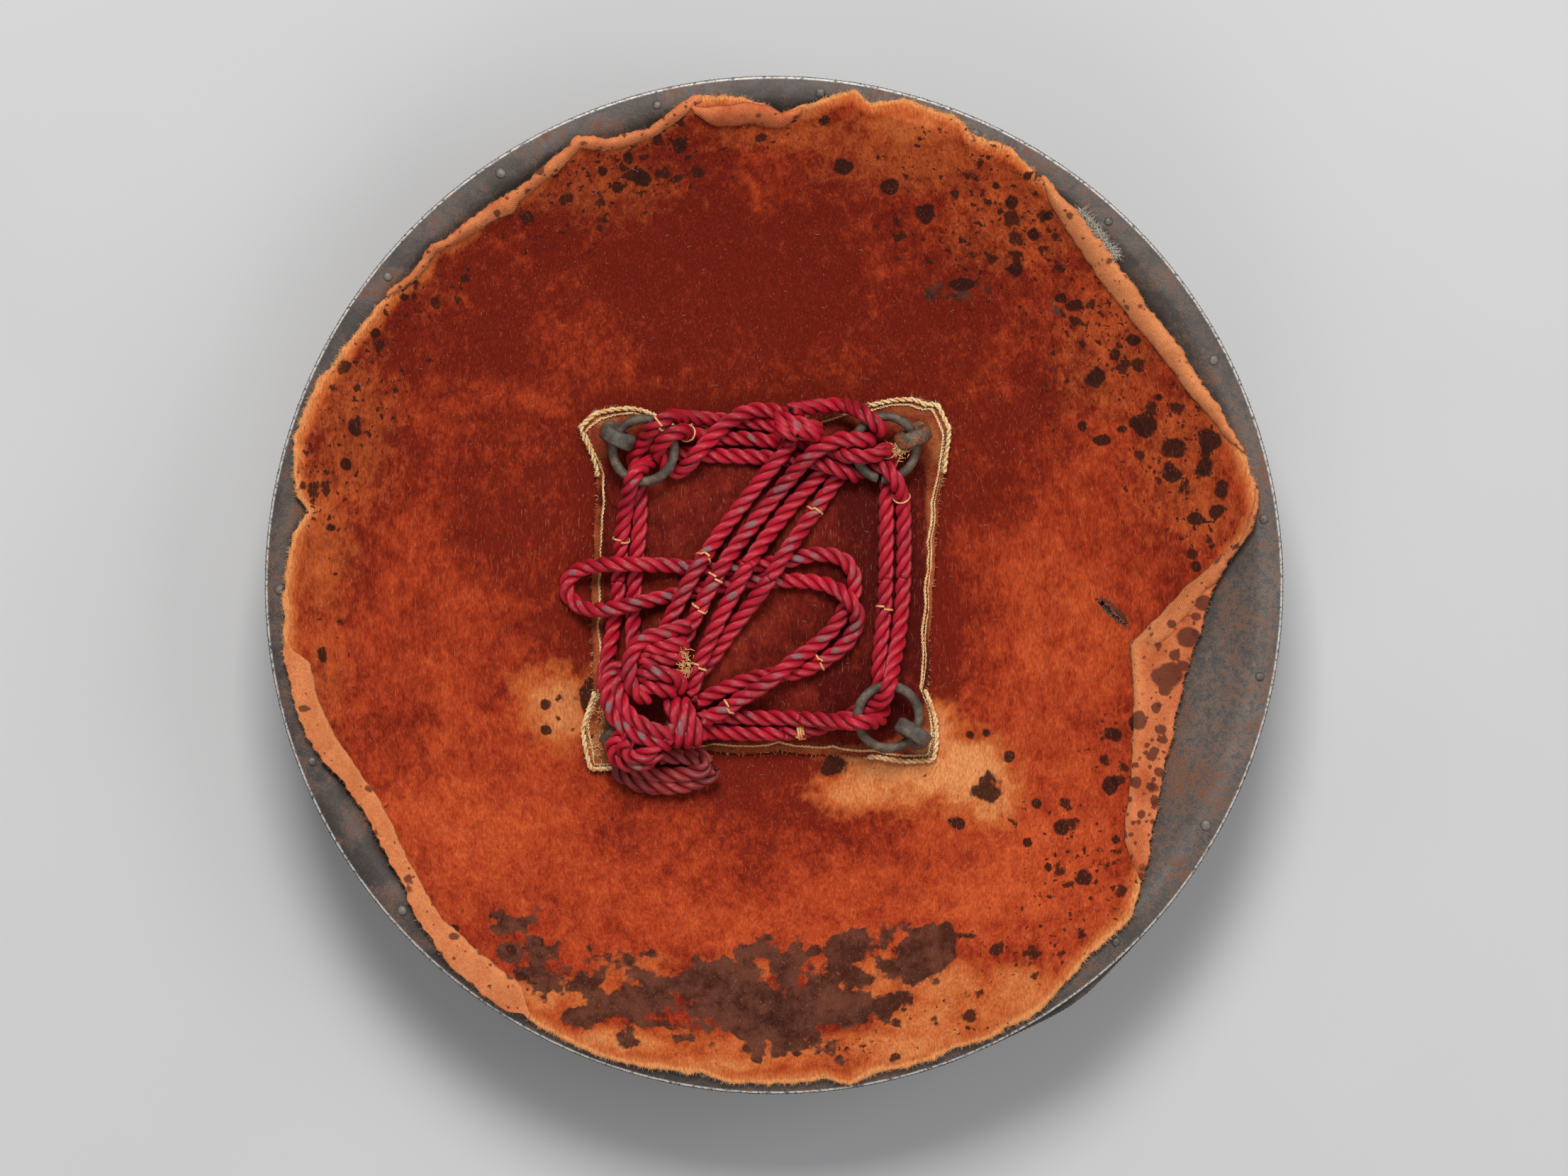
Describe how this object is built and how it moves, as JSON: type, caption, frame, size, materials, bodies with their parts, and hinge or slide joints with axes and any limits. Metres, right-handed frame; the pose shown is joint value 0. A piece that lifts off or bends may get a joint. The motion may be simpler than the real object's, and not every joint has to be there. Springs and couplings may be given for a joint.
{
  "type": "round steel shield",
  "caption": "Round dished steel shield seen from inside, with a velvet lining, a square hand cushion, a laced cord grip, iron rings on eye bolts and bosses on the front.",
  "frame": {"origin": "under the middle of the bowl, on the level surface that the boss tips stand on", "axes": "+Z out of the bowl's hollow side, square to the rim; +X to the right and +Y to the top of the shield as seen from inside"},
  "size_m": [0.4608, 0.4608, 0.0837],
  "materials": {
    "bowl_steel": "dark brown-grey patina with rust mottling",
    "band_steel": "rusted, with a worn bright edge",
    "rivet_steel": "worn",
    "boss_steel": "dark patina",
    "eye_iron": "forged and lightly rusted",
    "ring_iron": "forged and worn",
    "cotton": "loose wadding",
    "lining_velvet": "faded and worn velvet",
    "canvas": "coarse weave",
    "cushion_velvet": "worn dark velvet",
    "piping": "cream thread",
    "silk_cord": "twisted crimson silk"
  },
  "bodies": {
    "shield": {"bowl": "bowl_steel", "rim_band": "band_steel", "rim_rivet_01": "rivet_steel", "rim_rivet_02": "rivet_steel", "rim_rivet_03": "rivet_steel", "rim_rivet_04": "rivet_steel", "rim_rivet_05": "rivet_steel", "rim_rivet_06": "rivet_steel", "rim_rivet_07": "rivet_steel", "rim_rivet_08": "rivet_steel", "rim_rivet_09": "rivet_steel", "rim_rivet_10": "rivet_steel", "rim_rivet_11": "rivet_steel", "rim_rivet_12": "rivet_steel", "rim_rivet_13": "rivet_steel", "rim_rivet_14": "rivet_steel", "rim_rivet_15": "rivet_steel", "rim_rivet_16": "rivet_steel", "rim_rivet_17": "rivet_steel", "rim_rivet_18": "rivet_steel", "rim_rivet_19": "rivet_steel", "boss_top_left": "boss_steel", "boss_top_right": "boss_steel", "boss_bottom_right": "boss_steel", "boss_bottom_left": "boss_steel", "eye_bolt_top_left": "eye_iron", "eye_bolt_top_right": "eye_iron", "eye_bolt_bottom_right": "eye_iron", "eye_bolt_bottom_left": "eye_iron", "wadding": "cotton", "velvet_lining": "lining_velvet", "cushion_back": "canvas", "cushion_stuffing": "cotton", "cushion_top": "cushion_velvet", "cushion_piping": "piping", "lacing_1": "silk_cord", "lacing_2": "silk_cord", "lacing_3": "silk_cord", "diagonal_1": "silk_cord", "diagonal_2": "silk_cord", "diagonal_3": "silk_cord", "bight": "silk_cord", "knot_top": "silk_cord", "knot_coil": "silk_cord", "knot_wrap": "silk_cord", "knot_end": "silk_cord", "knot_hank": "silk_cord"},
    "top_left_ring": {"ring_top_left": "ring_iron"},
    "top_right_ring": {"ring_top_right": "ring_iron"},
    "bottom_right_ring": {"ring_bottom_right": "ring_iron"},
    "bottom_left_ring": {"ring_bottom_left": "ring_iron"}
  },
  "joints": [
    {"name": "top_left_ring_swing", "type": "hinge", "parent": "shield", "child": "top_left_ring", "pos_m": [-0.07217, 0.06804, 0.04291], "axis": [-0.4427, -0.8918, -0.0931], "range_deg": [0, 90], "deforming": ["lacing_1", "lacing_2", "lacing_3"]},
    {"name": "top_right_ring_swing", "type": "hinge", "parent": "shield", "child": "top_right_ring", "pos_m": [0.06391, 0.06804, 0.04109], "axis": [-0.3504, 0.9274, 0.1311], "range_deg": [0, 90], "deforming": ["lacing_1", "lacing_2", "diagonal_2", "diagonal_3"]},
    {"name": "bottom_right_ring_swing", "type": "hinge", "parent": "shield", "child": "bottom_right_ring", "pos_m": [0.06391, -0.06804, 0.04109], "axis": [0.5388, 0.8393, -0.073], "range_deg": [0, 90], "deforming": ["lacing_1", "lacing_2"]},
    {"name": "bottom_left_ring_swing", "type": "hinge", "parent": "shield", "child": "bottom_left_ring", "pos_m": [-0.07217, -0.06804, 0.04291], "axis": [0.6291, -0.7769, 0.0242], "range_deg": [0, 90], "deforming": ["knot_wrap", "knot_coil", "knot_end", "lacing_1"]}
  ]
}
